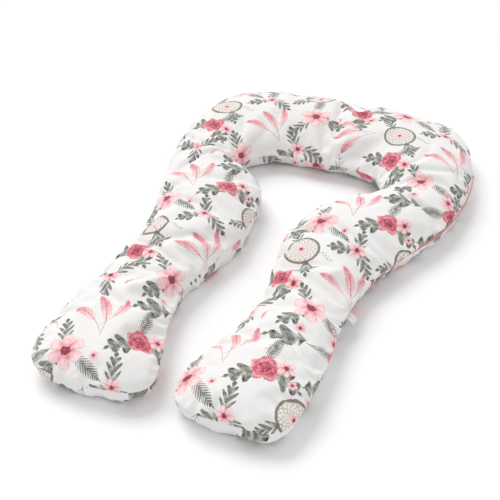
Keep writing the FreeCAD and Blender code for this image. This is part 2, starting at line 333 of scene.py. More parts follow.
FOOT_FROM = -0.94
FOOT_FADE = 0.14
OUTER_BEND = (392, -60)
CORNER_SPREAD = 0.15
CORNER_GATHER = 0.55
GATHER_PITCH = 0.040
RIPPLE_PITCH = 0.021
CREASE_WAYS = {RIGHT_NOTCH: (16, 44, 70, -12, -36), LEFT_NOTCH: (166, 138, 110, 194, 218)}
CREASE_LENGTH = 0.095
CREASE_DEPTH = 9.0 * MM
CREASE_FAN = 80
DENT = 1.1 * MM
UNDERSIDE_SHARE = 0.6
SLIDER_SPOT = (0.272, -0.614)
PUCKER_SPREAD = 0.030
PUCKER_SHARE = 0.40


def corner_share(x, y):
    """1 at the inner corners and on the outer bends beside them, fading with distance."""
    share = np.zeros(len(x))
    for corner in (RIGHT_NOTCH, LEFT_NOTCH, OUTER_BEND, (-OUTER_BEND[0], OUTER_BEND[1])):
        share += np.exp(-((x - corner[0] * MM) ** 2 + (y - corner[1] * MM) ** 2) / CORNER_SPREAD ** 2)
    return np.minimum(share, 1)


def seam_gathers(x, y):
    """Tucks and small ripples along the seam, strongest round the feet and the inner corners."""
    foot = np.clip((FOOT_FROM - y) / FOOT_FADE, 0, 1)
    gather = np.maximum(foot, CORNER_GATHER * corner_share(x, y))
    strength = (1.6 + 6.5 * gather) * MM
    reach_in = (15 + 22 * gather) * MM
    height = strength * (tucks(along, GATHER_PITCH, 1.3) - 0.8) * np.exp(-to_edge / reach_in)
    ripple = (0.8 + 1.6 * gather) * MM * wavy(along, RIPPLE_PITCH, 4.1)
    return height + ripple * np.exp(-to_edge / (13 * MM))


def corner_creases(x, y):
    """Creases that fan out from each inner corner, with a soft roll of cloth on both sides of each."""
    height = np.zeros(len(x))
    for notch, ways in CREASE_WAYS.items():
        dx, dy = x - notch[0] * MM, y - notch[1] * MM
        distance = np.hypot(dx, dy)
        angle = np.degrees(np.arctan2(dy, dx))
        for number, way in enumerate(ways):
            curve = 9 * np.sin(distance / 0.05 + number)
            off = (angle - way - curve + 180) % 360 - 180
            across = distance * np.sin(np.radians(np.clip(off, -89, 89)))
            width = (3.5 + 0.040 * distance / MM) * MM
            depth = (CREASE_DEPTH - 0.9 * number * MM) * np.exp(-distance / CREASE_LENGTH)
            depth = depth * (np.abs(off) < CREASE_FAN)
            height -= depth * np.exp(-np.abs(across / width) ** 1.5)
            height += 0.45 * depth * np.exp(-((np.abs(across) - 2.2 * width) / width) ** 2)
    return height


def soft_dents(x, y):
    """Broad, shallow hollows of unevenly spread filling."""
    waves = (np.sin(x * 41 + 3 * np.sin(y * 23)) + np.sin(y * 37 + 2.2 * np.sin(x * 29 + 1))
             + np.sin((x + y) * 61 + 2 * np.sin(y * 31 + 4)))
    return DENT * (waves - 1.0)


def folds(points):
    """The height that folds and dents add to the cloth, in metres."""
    x, y = points[:, 0], points[:, 1]
    fade = 1 - np.exp(-to_edge / (4 * MM))
    return (seam_gathers(x, y) + corner_creases(x, y) + soft_dents(x, y)) * fade


def pucker(points):
    """1 where the weight of the slider draws the cloth down beside it, fading to 0."""
    away = np.hypot(points[:, 0] - SLIDER_SPOT[0], points[:, 1] - SLIDER_SPOT[1])
    return np.exp(-(away / PUCKER_SPREAD) ** 2)


fold_height = folds(flat)
top_z = SEAM_HEIGHT + CROWN * swell * (1 - PUCKER_SHARE * pucker(flat)) + fold_height
bottom_z = SEAM_HEIGHT - BELLY * swell + fold_height * UNDERSIDE_SHARE
top_z[on_edge] = SEAM_HEIGHT
bottom_z = np.maximum(bottom_z, 0.0)
inner = np.flatnonzero(~on_edge)
lower_index = np.arange(COUNT)
lower_index[inner] = COUNT + np.arange(len(inner))
skin = np.vstack([np.c_[flat, top_z], np.c_[flat[inner], bottom_z[inner]]])
skin_faces = np.vstack([flat_faces, lower_index[flat_faces][:, ::-1]])
skin_place = np.vstack([cloth_place, cloth_place[inner]])


# ---------------------------------------------------------------- cloth

def new_mesh(name, verts, faces):
    mesh = bpy.data.meshes.new(name)
    mesh.from_pydata([tuple(v) for v in verts], [], [tuple(int(n) for n in f) for f in faces])
    mesh.update()
    return mesh


def new_object(name, mesh):
    thing = bpy.data.objects.new(name, mesh)
    bpy.context.scene.collection.objects.link(thing)
    return thing


OFF_THE_FLOOR = 0.4 * MM
CLOTH_FRAMES = 22
CAP = 0.007
SLACK = 0.06
SWELLING_ROUNDS = 60
WRINKLE_GAIN = 1.6


def settle(points, faces, pinned):
    """Lets the stuffed cover take its wrinkles: slack cloth blown up against its pinned seam."""
    thing = new_object("cloth_work", new_mesh("cloth_work", points, faces))
    group = thing.vertex_groups.new(name="seam")
    group.add([int(n) for n in pinned], 1.0, "ADD")
    cloth = thing.modifiers.new("Cloth", "CLOTH")
    settings = cloth.settings
    settings.quality = 6
    settings.mass = 0.25
    settings.tension_stiffness = 25
    settings.compression_stiffness = 12
    settings.shear_stiffness = 8
    settings.bending_stiffness = 0.25
    settings.tension_damping = 12
    settings.compression_damping = 12
    settings.shear_damping = 8
    settings.air_damping = 3
    settings.shrink_min = -SLACK
    settings.shrink_max = -SLACK
    settings.use_pressure = True
    settings.uniform_pressure_force = 4.0
    settings.vertex_group_mass = "seam"
    settings.effector_weights.gravity = 0
    cloth.collision_settings.use_collision = False
    cloth.point_cache.frame_start = 1
    cloth.point_cache.frame_end = CLOTH_FRAMES + 2
    scene = bpy.context.scene
    for number in range(1, CLOTH_FRAMES + 1):
        scene.frame_set(number)
    graph = bpy.context.evaluated_depsgraph_get()
    solved = thing.evaluated_get(graph)
    result = np.empty(len(points) * 3)
    solved.data.vertices.foreach_get("co", result)
    scene.frame_set(1)
    bpy.data.objects.remove(thing)
    return result.reshape(-1, 3)


def smooth_offsets(offset, faces, rounds):
    """The offsets after rounds of averaging each point with its neighbours."""
    pairs = np.vstack([faces[:, [0, 1]], faces[:, [1, 2]], faces[:, [2, 0]]])
    pairs = np.vstack([pairs, pairs[:, ::-1]])
    degree = np.bincount(pairs[:, 0], minlength=len(offset))[:, None]
    for _ in range(rounds):
        mean = np.stack([np.bincount(pairs[:, 0], offset[pairs[:, 1], n], len(offset)) for n in range(3)], 1)
        offset = 0.5 * offset + 0.5 * mean / degree
    return offset


moved = settle(skin, skin_faces, edge_index) - skin
# Only the wrinkles are kept: the overall swelling of the cloth is taken away again.
wrinkles = smooth_offsets(moved, skin_faces, 1) - smooth_offsets(moved, skin_faces, SWELLING_ROUNDS)
length = np.linalg.norm(wrinkles, axis=1)[:, None]
skin = skin + WRINKLE_GAIN * wrinkles * np.minimum(1, CAP / np.maximum(length, 1e-9))

skin[:, 2] = np.maximum(skin[:, 2], OFF_THE_FLOOR)


# ---------------------------------------------------------------- node helpers

def link(tree, source, target):
    if isinstance(source, bpy.types.NodeSocket):
        tree.links.new(source, target)
    else:
        target.default_value = source


class Graph:
    """Short names for the shader nodes that the materials are built from."""

    def __init__(self, tree):
        self.tree = tree

    def node(self, kind, **settings):
        made = self.tree.nodes.new(kind)
        for name, value in settings.items():
            setattr(made, name, value)
        return made

    def math(self, operation, *values):
        made = self.node("ShaderNodeMath", operation=operation)
        for number, value in enumerate(values):
            link(self.tree, value, made.inputs[number])
        return made.outputs[0]

    def add(self, a, b):
        return self.math("ADD", a, b)

    def sub(self, a, b):
        return self.math("SUBTRACT", a, b)

    def mul(self, a, b):
        return self.math("MULTIPLY", a, b)

    def size(self, a):
        return self.math("ABSOLUTE", a)

    def sine(self, a):
        return self.math("SINE", a)

    def part(self, a):
        return self.math("FRACT", a)

    def vector(self, operation, *values):
        made = self.node("ShaderNodeVectorMath", operation=operation)
        for number, value in enumerate(values):
            link(self.tree, value, made.inputs[number])
        return made.outputs[1 if operation == "LENGTH" else 0]

    def split(self, vector):
        made = self.node("ShaderNodeSeparateXYZ")
        link(self.tree, vector, made.inputs[0])
        return made.outputs[0], made.outputs[1]

    def step(self, value, low, high):
        """0 below low, 1 above high; with low above high it falls instead."""
        falling = low > high
        made = self.node("ShaderNodeMapRange", interpolation_type="SMOOTHSTEP")
        link(self.tree, value, made.inputs["Value"])
        made.inputs["From Min"].default_value = min(low, high)
        made.inputs["From Max"].default_value = max(low, high)
        made.inputs["To Min"].default_value = 1.0 if falling else 0.0
        made.inputs["To Max"].default_value = 0.0 if falling else 1.0
        return made.outputs[0]

    def noise(self, vector, scale, detail=2.0):
        made = self.node("ShaderNodeTexNoise", noise_dimensions="2D")
        link(self.tree, vector, made.inputs["Vector"])
        made.inputs["Scale"].default_value = scale
        made.inputs["Detail"].default_value = detail
        return made.outputs[0]

    def ramp(self, value, *stops):
        made = self.node("ShaderNodeValToRGB")
        elements = made.color_ramp.elements
        while len(elements) < len(stops):
            elements.new(0.5)
        for element, (place, colour) in zip(elements, stops):
            element.position = place
            element.color = (*colour, 1)
        link(self.tree, value, made.inputs[0])
        return made.outputs[0]

    def mix(self, share, under, over):
        made = self.node("ShaderNodeMix", data_type="RGBA")
        link(self.tree, share, made.inputs[0])
        link(self.tree, under, made.inputs[6])
        link(self.tree, over, made.inputs[7])
        return made.outputs[2]


def screen(red, green, blue):
    """A colour as a screen shows it, 0 to 255, turned into light values."""
    light = []
    for value in (red, green, blue):
        share = value / 255
        light.append(share / 12.92 if share <= 0.04045 else ((share + 0.055) / 1.055) ** 2.4)
    return tuple(light)


MAROON = screen(112, 34, 50)
DEEP_ROSE = screen(188, 78, 96)
ROSE = screen(221, 120, 134)
SOFT_PINK = screen(240, 178, 182)
PALE_PINK = screen(250, 220, 220)
DARK_LEAF = screen(56, 57, 54)
MID_LEAF = screen(120, 122, 115)
PALE_LEAF = screen(186, 188, 180)
HOOP_BROWN = screen(146, 134, 120)
WEB_BEIGE = screen(196, 180, 158)
GOLD_BROWN = screen(140, 96, 44)


# ---------------------------------------------------------------- drawn shapes of the print

def shape_group(name, draw):
    """A node group that draws one shape of about unit size: point in, colour and coverage out."""
    tree = bpy.data.node_groups.new(name, "ShaderNodeTree")
    tree.interface.new_socket("Point", in_out="INPUT", socket_type="NodeSocketVector")
    tree.interface.new_socket("Color", in_out="OUTPUT", socket_type="NodeSocketColor")
    tree.interface.new_socket("Cover", in_out="OUTPUT", socket_type="NodeSocketFloat")
    start = tree.nodes.new("NodeGroupInput")
    end = tree.nodes.new("NodeGroupOutput")
    colour, cover = draw(Graph(tree), start.outputs[0])
    link(tree, colour, end.inputs[0])
    link(tree, cover, end.inputs[1])
    return tree


def rose_shape(g, point):
    x, y = g.split(point)
    turn = g.math("ARCTAN2", y, x)
    cloud = g.sub(g.noise(point, 2.3), 0.5)
    radius = g.add(g.vector("LENGTH", point), g.mul(cloud, 0.5))
    rim = g.add(0.88, g.mul(g.sine(g.mul(turn, 5)), 0.07))
    cover = g.step(g.sub(rim, radius), 0.0, 0.07)
    spiral = g.add(g.mul(radius, 3.1), g.mul(turn, 0.1592))
    spiral = g.add(spiral, g.mul(g.sine(g.add(g.mul(turn, 3), g.mul(radius, 5))), 0.22))
    petal = g.part(spiral)
    tone = g.add(g.mul(radius, 0.62), g.mul(petal, 0.40))
    tone = g.add(tone, g.mul(g.sub(g.noise(point, 7.0), 0.5), 0.45))
    colour = g.ramp(tone, (0.12, MAROON), (0.32, DEEP_ROSE), (0.56, ROSE), (0.88, SOFT_PINK))
    return colour, cover


def bloom_shape(g, point):
    x, y = g.split(point)
    turn = g.math("ARCTAN2", y, x)
    radius = g.add(g.vector("LENGTH", point), g.mul(g.sub(g.noise(point, 2.1), 0.5), 0.30))
    petal = g.size(g.math("COSINE", g.mul(turn, 3)))
    rim = g.add(0.52, g.mul(g.math("POWER", petal, 0.5), 0.42))
    cover = g.step(g.sub(rim, radius), 0.0, 0.06)
    streak = g.noise(point, 5.0)
    tone = g.add(g.mul(radius, 0.75), g.mul(petal, 0.32))
    tone = g.add(tone, g.mul(g.sub(streak, 0.5), 0.7))
    heart = g.step(radius, 0.30, 0.20)
    colour = g.ramp(tone, (0.14, ROSE), (0.46, SOFT_PINK), (0.78, PALE_PINK))
    edge_tone = g.mul(g.step(g.sub(rim, radius), 0.10, 0.02), 0.60)
    colour = g.mix(edge_tone, colour, (*ROSE, 1))
    dots = g.step(g.noise(point, 16.0), 0.42, 0.60)
    colour = g.mix(heart, colour, g.mix(dots, (*MAROON, 1), (*DEEP_ROSE, 1)))
    return colour, cover


def sprig_shape(pairs, spread, sweep, slender):
    """A stem along X from -1 to 1 with pairs of leaves."""

    def draw(g, point):
        x, y = g.split(point)
        y = g.add(y, g.mul(g.sine(g.mul(x, 2.0)), 0.05))
        away = g.size(y)
        envelope = g.mul(g.math("MAXIMUM", g.sub(1.0, g.mul(x, x)), 0.0001), spread)
        reach_out = g.math("DIVIDE", away, envelope)
        step_along = g.mul(g.sub(x, g.mul(away, sweep)), pairs / 2.0)
        q = g.sub(g.mul(g.part(step_along), 2.0), 1.0)
        inside_leaf = g.sub(g.sub(1.0, reach_out), g.mul(g.mul(q, q), slender))
        inside_leaf = g.add(inside_leaf, g.mul(g.sub(g.noise(point, 5.0), 0.5), 0.25))
        cover = g.step(inside_leaf, 0.02, 0.16)
        stem = g.mul(g.step(away, 0.045, 0.020), g.step(g.size(x), 1.12, 1.0))
        tone = g.add(g.noise(point, 3.1), g.mul(g.size(q), 0.30))
        colour = g.ramp(tone, (0.36, DARK_LEAF), (0.58, MID_LEAF), (0.82, PALE_LEAF))
        vein = g.step(g.size(q), 0.10, 0.03)
        colour = g.mix(g.mul(vein, 0.6), colour, (*PALE_LEAF, 1))
        return colour, g.math("MAXIMUM", cover, g.mul(stem, 0.9))

    return draw


def feather_shape(g, point):
    """A feather from its quill at X 0 to its tip at X 1."""
    x, y = g.split(point)
    y = g.add(y, g.mul(g.mul(x, g.sub(1.0, x)), 0.35))
    hump = g.mul(g.mul(g.sub(x, 0.12), g.sub(1.02, x)), 4.4)
    width = g.mul(g.math("POWER", g.math("MAXIMUM", hump, 0.0001), 0.65), 0.135)
    barb = g.sine(g.mul(g.sub(x, g.mul(g.size(y), 1.6)), 46.0))
    ragged = g.mul(g.add(barb, g.mul(g.noise(point, 9.0), 1.2)), 0.014)
    cover = g.step(g.sub(g.add(width, ragged), g.size(y)), 0.0, 0.025)
    cover = g.mul(cover, g.step(hump, 0.02, 0.08))
    tone = g.add(g.mul(x, 0.75), g.mul(g.sub(g.noise(point, 6.0), 0.5), 0.5))
    colour = g.ramp(tone, (0.22, PALE_PINK), (0.48, SOFT_PINK), (0.78, ROSE), (0.95, DEEP_ROSE))
    colour = g.mix(g.mul(g.step(barb, 0.2, 0.9), 0.25), colour, (*ROSE, 1))
    quill = g.mul(g.step(g.size(y), 0.016, 0.006), g.mul(g.step(x, -0.30, -0.28), g.step(x, 0.92, 0.86)))
    colour = g.mix(g.mul(quill, 0.8), colour, (*DEEP_ROSE, 1))
    return colour, g.math("MAXIMUM", g.mul(cover, 0.95), g.mul(quill, 0.75))


def hoop_shape(g, point):
    x, y = g.split(point)
    turn = g.mul(g.math("ARCTAN2", y, x), 16 / (2 * math.pi))
    radius = g.vector("LENGTH", point)
    wobble = g.mul(g.sub(g.noise(point, 8.0), 0.5), 0.06)
    band = g.size(g.add(g.sub(radius, 0.93), wobble))
    ring = g.step(band, 0.085, 0.055)
    swirl = g.mul(radius, 3.4)
    lace = g.math("MINIMUM", g.size(g.sub(g.part(g.add(turn, swirl)), 0.5)),
                  g.size(g.sub(g.part(g.sub(turn, swirl)), 0.5)))
    thread = g.mul(g.step(lace, 0.17, 0.07), g.step(radius, 0.90, 0.88))
    centre = g.step(radius, 0.16, 0.07)
    grain = g.noise(point, 14.0)
    wood = g.mix(grain, (*screen(108, 99, 90), 1), (*HOOP_BROWN, 1))
    colour = g.mix(ring, (*WEB_BEIGE, 1), wood)
    colour = g.mix(centre, colour, (*GOLD_BROWN, 1))
    cover = g.math("MAXIMUM", g.mul(thread, 0.85), g.math("MAXIMUM", g.mul(ring, 0.95), centre))
    return colour, cover


def twig_shape(g, point):
    x, y = g.split(point)
    y = g.add(y, g.mul(g.sine(g.mul(x, 4.0)), 0.10))
    main = g.step(g.size(y), 0.035, 0.015)
    q = g.part(g.mul(x, 2.2))
    fork = g.mul(g.step(g.size(g.sub(g.size(y), g.mul(q, 0.34))), 0.035, 0.015), g.step(q, 0.90, 0.86))
    cover = g.mul(g.math("MAXIMUM", main, fork), g.step(g.size(x), 1.0, 0.97))
    return g.ramp(g.noise(point, 3.0), (0.35, DARK_LEAF), (0.7, PALE_LEAF)), g.mul(cover, 0.8)


SHAPES = {
    "rose": shape_group("rose", rose_shape),
    "bloom": shape_group("bloom", bloom_shape),
    "broad": shape_group("broad_leaves", sprig_shape(3, 0.74, 0.7, 0.72)),
    "slim": shape_group("slim_leaves", sprig_shape(4, 0.52, 1.3, 0.90)),
    "fern": shape_group("fern", sprig_shape(12, 0.40, 1.1, 0.88)),
    "feather": shape_group("feather", feather_shape),
    "hoop": shape_group("hoop", hoop_shape),
    "twig": shape_group("twig", twig_shape),
}

# ---------------------------------------------------------------- repeat of the print

# A stock flower print: six plain motifs on a half-drop grid, each turned a golden angle on from the last.
REPEAT = (0.500, 0.585)
COLUMNS = (
    ("posy", "sprig", "ring", "branch", "plumes"),
    ("flower", "plumes", "sprig", "posy", "ring"),
    ("sprig", "posy", "branch", "flower", "plumes"),
    ("ring", "branch", "posy", "sprig", "flower"),
)
GOLDEN_ANGLE = 137.5
DRIFT = 0.011
GAP_PIECES = (("feather", 34), ("twig", 22), ("bloom", 12))

# The shapes of each motif, in millimetres round its middle: kind, along, across, direction, size.
MOTIFS = {
    "posy": (("broad", -40, 22, 151, 41), ("broad", 14, -48, -74, 40), ("fern", 48, 26, 28, 38),
             ("rose", 0, 0, 20, 36), ("bloom", 34, -24, 50, 23)),
    "flower": (("fern", 62, 6, 6, 44), ("slim", -46, 32, 145, 38), ("broad", -10, -54, -100, 36),
               ("bloom", 0, 0, 12, 44)),
    "ring": (("slim", -56, 34, 147, 34), ("slim", 57, -32, -28, 34), ("hoop", 0, 0, 0, 43),
             ("bloom", 0, 0, 30, 15)),
    "plumes": (("feather", -46, -26, 12, 92), ("feather", -42, -10, 44, 84), ("feather", -30, -34, -24, 80)),
    "sprig": (("slim", 32, 24, 37, 40), ("slim", -38, 8, 168, 38), ("broad", 4, -42, -84, 30),
              ("bloom", 0, 0, 10, 23)),
    "branch": (("broad", 0, 0, 0, 48), ("twig", 18, 40, 40, 30), ("bloom", -34, -30, 80, 15)),
}


def print_shapes():
    """Every shape in one repeat: kind, place, direction and size."""
    placed = []
    row_height = REPEAT[1] / len(COLUMNS[0])
    column_width = REPEAT[0] / len(COLUMNS)
    for column, names in enumerate(COLUMNS):
        for row, name in enumerate(names):
            number = column * len(names) + row
            lean = math.radians(number * GOLDEN_ANGLE)
            u = (column + 0.5) * column_width + DRIFT * math.sin(number * 2.4)
            v = (row + 0.5 * (column % 2)) * row_height + DRIFT * math.cos(number * 1.7)
            for kind, along_it, across_it, way, scale in MOTIFS[name]:
                du = (along_it * math.cos(lean) - across_it * math.sin(lean)) * MM
                dv = (along_it * math.sin(lean) + across_it * math.cos(lean)) * MM
                placed.append((kind, u + du, v + dv, math.radians(way) + lean, scale * MM))
            if number % 2:
                kind, scale = GAP_PIECES[number // 2 % len(GAP_PIECES)]
                placed.append((kind, u + 0.5 * column_width, v, lean, scale * MM))
    return placed


PRINT = print_shapes()


def principled(name):
    material = bpy.data.materials.new(name)
    material.use_nodes = True
    g = Graph(material.node_tree)
    return material, g, material.node_tree.nodes["Principled BSDF"]


def bump(g, surface, height, strength, distance):
    made = g.node("ShaderNodeBump")
    made.inputs["Strength"].default_value = strength
    made.inputs["Distance"].default_value = distance
    link(g.tree, height, made.inputs["Height"])
    link(g.tree, made.outputs[0], surface.inputs["Normal"])


def weave(g, place, pitch):
    """Over-and-under height of a plain weave."""
    x, y = g.split(place)
    wave = 2 * math.pi / pitch
    return g.mul(g.sine(g.mul(x, wave)), g.sine(g.mul(y, wave)))


# The print is drawn cell by cell of its repeat, so that each place works out only the shapes near it.
CELLS = (4, 5)
CELL_SIZE = (REPEAT[0] / CELLS[0], REPEAT[1] / CELLS[1])
CELL_MARGIN = 0.010
SHAPE_REACH = 1.15


def shapes_near(middle):
    """The shapes that may reach into the cell round this middle, with their places counted from it."""
    near = []
    for kind, u, v, turn, scale in PRINT:
        du = (u - middle[0] + REPEAT[0] / 2) % REPEAT[0] - REPEAT[0] / 2
        dv = (v - middle[1] + REPEAT[1] / 2) % REPEAT[1] - REPEAT[1] / 2
        gap = math.hypot(max(0.0, abs(du) - CELL_SIZE[0] / 2), max(0.0, abs(dv) - CELL_SIZE[1] / 2))
        if gap < SHAPE_REACH * scale + CELL_MARGIN:
            near.append((kind, du, dv, turn, scale))
    return near


def cell_numbers(place):
    """The number of the cell that each place on the flat cloth lies in."""
    column = np.floor(place[:, 0] % REPEAT[0] / CELL_SIZE[0]).clip(0, CELLS[0] - 1)
    row = np.floor(place[:, 1] % REPEAT[1] / CELL_SIZE[1]).clip(0, CELLS[1] - 1)
    return (column * CELLS[1] + row).astype(int)


def printed_cotton(column, row):
    material, g, surface = principled("printed_cotton_%d_%d" % (column, row))
    middle = ((column + 0.5) * CELL_SIZE[0], (row + 0.5) * CELL_SIZE[1])
    cloth = g.node("ShaderNodeAttribute", attribute_name="cloth_place").outputs["Vector"]
    wrapped = g.node("ShaderNodeVectorMath", operation="WRAP")
    link(g.tree, g.vector("SUBTRACT", cloth, (*middle, 0)), wrapped.inputs[0])
    wrapped.inputs[1].default_value = (REPEAT[0] / 2, REPEAT[1] / 2, 1)
    wrapped.inputs[2].default_value = (-REPEAT[0] / 2, -REPEAT[1] / 2, -1)
    place = wrapped.outputs[0]
    colour = g.mix(g.noise(cloth, 9.0), (*screen(240, 239, 237), 1), (*screen(234, 233, 231), 1))
    soak = g.add(0.90, g.mul(g.noise(cloth, 140.0), 0.16))
    for kind, u, v, turn, scale in shapes_near(middle):
        # The hair-thin share of the last colour only makes the shapes be worked out one after another.
        after_last = g.vector("MULTIPLY_ADD", colour, (1e-9, 1e-9, 0), place)
        mapped = g.node("ShaderNodeMapping", vector_type="TEXTURE")
        mapped.inputs["Location"].default_value = (u, v, 0)
        mapped.inputs["Rotation"].default_value = (0, 0, turn)
        mapped.inputs["Scale"].default_value = (scale, scale, 1)
        link(g.tree, after_last, mapped.inputs["Vector"])
        drawn = g.node("ShaderNodeGroup")
        drawn.node_tree = SHAPES[kind]
        link(g.tree, mapped.outputs[0], drawn.inputs[0])
        colour = g.mix(g.mul(drawn.outputs[1], soak), colour, drawn.outputs[0])
    link(g.tree, colour, surface.inputs["Base Color"])
    surface.inputs["Roughness"].default_value = 0.86
    surface.inputs["Specular IOR Level"].default_value = 0.25
    surface.inputs["Sheen Weight"].default_value = 0.12
    surface.inputs["Sheen Roughness"].default_value = 0.5
    rough = g.add(g.mul(weave(g, cloth, 0.0011), 0.25), g.mul(g.noise(cloth, 55.0, 3.0), 1.6))
    bump(g, surface, rough, 0.35, 0.0006)
    return material


def woven(name, colour, darker, pitch, roughness=0.85):
    """Plain woven tape or cloth with slightly uneven yarn and painted shade in the low spots of the weave."""
    material, g, surface = principled(name)
    place = g.node("ShaderNodeTexCoord").outputs["Object"]
    yarn = g.step(weave(g, place, pitch), -1.0, 1.0)
    # Painted shade: the colour goes toward the darker tone where the weave is low, as if shade lay in the
    # hollows between the yarns; the noise adds real unevenness of the yarn.
    tone = g.add(g.mul(yarn, 0.6), g.mul(g.noise(place, 300.0), 0.5))
    link(g.tree, g.mix(tone, (*darker, 1), (*colour, 1)), surface.inputs["Base Color"])
    surface.inputs["Roughness"].default_value = roughness
    surface.inputs["Sheen Weight"].default_value = 0.2
    bump(g, surface, yarn, 0.5, 0.0003)
    return material


def moulded(name, colour, darker, metallic, roughness, grain):
    """Moulded plastic or painted metal: slight colour drift, rubbed patches and fine grain."""
    material, g, surface = principled(name)
    place = g.node("ShaderNodeTexCoord").outputs["Object"]
    tone = g.noise(place, grain)
    link(g.tree, g.mix(tone, (*darker, 1), (*colour, 1)), surface.inputs["Base Color"])
    surface.inputs["Metallic"].default_value = metallic
    rubbed = g.noise(place, grain * 3)
    link(g.tree, g.add(roughness - 0.08, g.mul(rubbed, 0.2)), surface.inputs["Roughness"])
    bump(g, surface, rubbed, 0.25, 0.0002)
    return material


COTTON = [printed_cotton(column, row) for column in range(CELLS[0]) for row in range(CELLS[1])]
LINER = woven("liner_cloth", screen(244, 243, 240), screen(222, 221, 218), 0.0012)
FIBRE = woven("fibre_filling", screen(250, 250, 248), screen(228, 228, 226), 0.0040, 0.95)
TAPE = woven("zipper_tape", screen(240, 172, 162), screen(218, 142, 132), 0.0009)
COIL = moulded("zipper_coil", screen(234, 158, 148), screen(212, 128, 118), 0.0, 0.42, 400)
PAINTED = moulded("painted_slider", screen(148, 42, 56), screen(96, 22, 34), 0.35, 0.34, 260)
PULL = moulded("pull_plastic", screen(236, 170, 172), screen(214, 138, 142), 0.0, 0.5, 200)
LABEL = woven("label_tape", screen(240, 240, 238), screen(222, 222, 220), 0.0007, 0.6)


# ---------------------------------------------------------------- cover, liner and filling

def dress(thing, material):
    thing.data.materials.clear()
    thing.data.materials.append(material)


def dress_in_print(thing, panel_place):
    """Gives each face the stretch of print that its middle lies on."""
    for material in COTTON:
        thing.data.materials.append(material)
    thing.data.polygons.foreach_set("material_index", cell_numbers(panel_place))


def smooth_shading(mesh):
    mesh.polygons.foreach_set("use_smooth", [True] * len(mesh.polygons))


def set_place(mesh, place):
    layer = mesh.attributes.new("cloth_place", "FLOAT_VECTOR", "POINT")
    flat3 = np.zeros((len(place), 3), np.float32)
    flat3[:, :2] = place
    layer.data.foreach_set("vector", flat3.ravel())


def piece_of(name, verts, faces, place, normals=None):
    used = np.unique(faces)
    lookup = np.full(len(verts), -1)
    lookup[used] = np.arange(len(used))
    mesh = new_mesh(name, verts[used], lookup[faces])
    set_place(mesh, place[used])
    smooth_shading(mesh)
    if normals is not None:
        mesh.normals_split_custom_set_from_vertices([tuple(n) for n in normals[used]])
    return new_object(name, mesh)


def finer(verts, faces, place, creased):
    """One subdivision of the cloth, with the side seam kept crisp."""
    mesh = new_mesh("finer_work", verts, faces)
    set_place(mesh, place)
    crease = mesh.attributes.new("crease_vert", "FLOAT", "POINT")
    sharp = np.zeros(len(verts), np.float32)
    sharp[creased] = 1.0
    crease.data.foreach_set("value", sharp)
    thing = new_object("finer_work", mesh)
    modifier = thing.modifiers.new("Subdivision", "SUBSURF")
    modifier.levels = 1
    modifier.render_levels = 1
    modifier.boundary_smooth = "PRESERVE_CORNERS"
    graph = bpy.context.evaluated_depsgraph_get()
    solved = thing.evaluated_get(graph).to_mesh()
    count = len(solved.vertices)
    co = np.empty(count * 3)
    solved.vertices.foreach_get("co", co)
    quads = np.empty(len(solved.polygons) * 4, int)
    solved.polygons.foreach_get("vertices", quads)
    where = np.empty(count * 3, np.float32)
    solved.attributes["cloth_place"].data.foreach_get("vector", where)
    thing.evaluated_get(graph).to_mesh_clear()
    bpy.data.objects.remove(thing)
    return co.reshape(-1, 3), quads.reshape(-1, 4), where.reshape(-1, 3)[:, :2]


def vertex_normals(verts, faces):
    corners = verts[faces]
    normal = np.cross(corners[:, 2] - corners[:, 0], corners[:, -1] - corners[:, 1])
    total = np.zeros_like(verts)
    for corner in range(faces.shape[1]):
        for axis in range(3):
            total[:, axis] += np.bincount(faces[:, corner], normal[:, axis], len(verts))
    return total / np.maximum(np.linalg.norm(total, axis=1), 1e-12)[:, None]


def bend_with_leg(thing):
    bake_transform(thing)


fine, fine_faces, fine_place = finer(skin, skin_faces, skin_place, edge_index)
fine[:, 2] = np.maximum(fine[:, 2], OFF_THE_FLOOR)
split_at = len(flat_faces) * 3
PANELS = {"top": fine_faces[:split_at], "bottom": fine_faces[split_at:]}

# The bottom panel is cut from another stretch of the same cloth, and its print is seen from below.
BOTTOM_CUT = np.array([0.17, 0.23])
PLACES = {"top": fine_place, "bottom": fine_place * np.array([-1, 1]) + BOTTOM_CUT}

for layer, panel in PANELS.items():
    normals = vertex_normals(fine, panel)
    on_right = right_side(fine[panel].mean(1))
    for side, mine in (("left", ~on_right), ("right", on_right)):
        made = piece_of("cover_%s_%s" % (layer, side), fine, panel[mine], PLACES[layer], normals)
        dress_in_print(made, PLACES[layer][panel[mine]].mean(1))
        bend_with_leg(made)
        stands_for = ["cover_%s_%s_leg" % (layer, side)]
        if side == "left":
            stands_for.append("cover_%s_bar" % layer)
        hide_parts(*stands_for)

skin_normals = vertex_normals(skin, skin_faces)


def shrunk(depth):
    """The cover's shape, drawn in by a depth and kept off the floor."""
    inner_shape = skin - skin_normals * depth
    inner_shape[:, 2] = np.maximum(inner_shape[:, 2], depth)
    return inner_shape


LINER_DEPTH = 1.6 * MM
FILLING_DEPTH = 3.2 * MM
HALF_FACES = {"top": skin_faces[:len(flat_faces)], "bottom": skin_faces[len(flat_faces):]}
liner_shape = shrunk(LINER_DEPTH)
for layer, panel in HALF_FACES.items():
    on_right = right_side(skin[panel].mean(1))
    for side, mine in (("left", ~on_right), ("right", on_right)):
        made = piece_of("liner_%s_%s" % (layer, side), liner_shape, panel[mine], skin_place)
        dress(made, LINER)
        bend_with_leg(made)
        stands_for = ["liner_%s_%s_leg" % (layer, side)]
        if side == "left":
            stands_for.append("liner_%s_bar" % layer)
        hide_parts(*stands_for)

filling_shape = shrunk(FILLING_DEPTH)
on_right = right_side(skin[skin_faces].mean(1))
for side, mine in (("left", ~on_right), ("right", on_right)):
    made = piece_of("filling_%s" % side, filling_shape, skin_faces[mine], skin_place)
    dress(made, FIBRE)
    bend_with_leg(made)
    stands_for = ["filling_%s_leg" % side]
    if side == "left":
        stands_for.append("filling_bar")
    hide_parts(*stands_for)


# ---------------------------------------------------------------- zipper

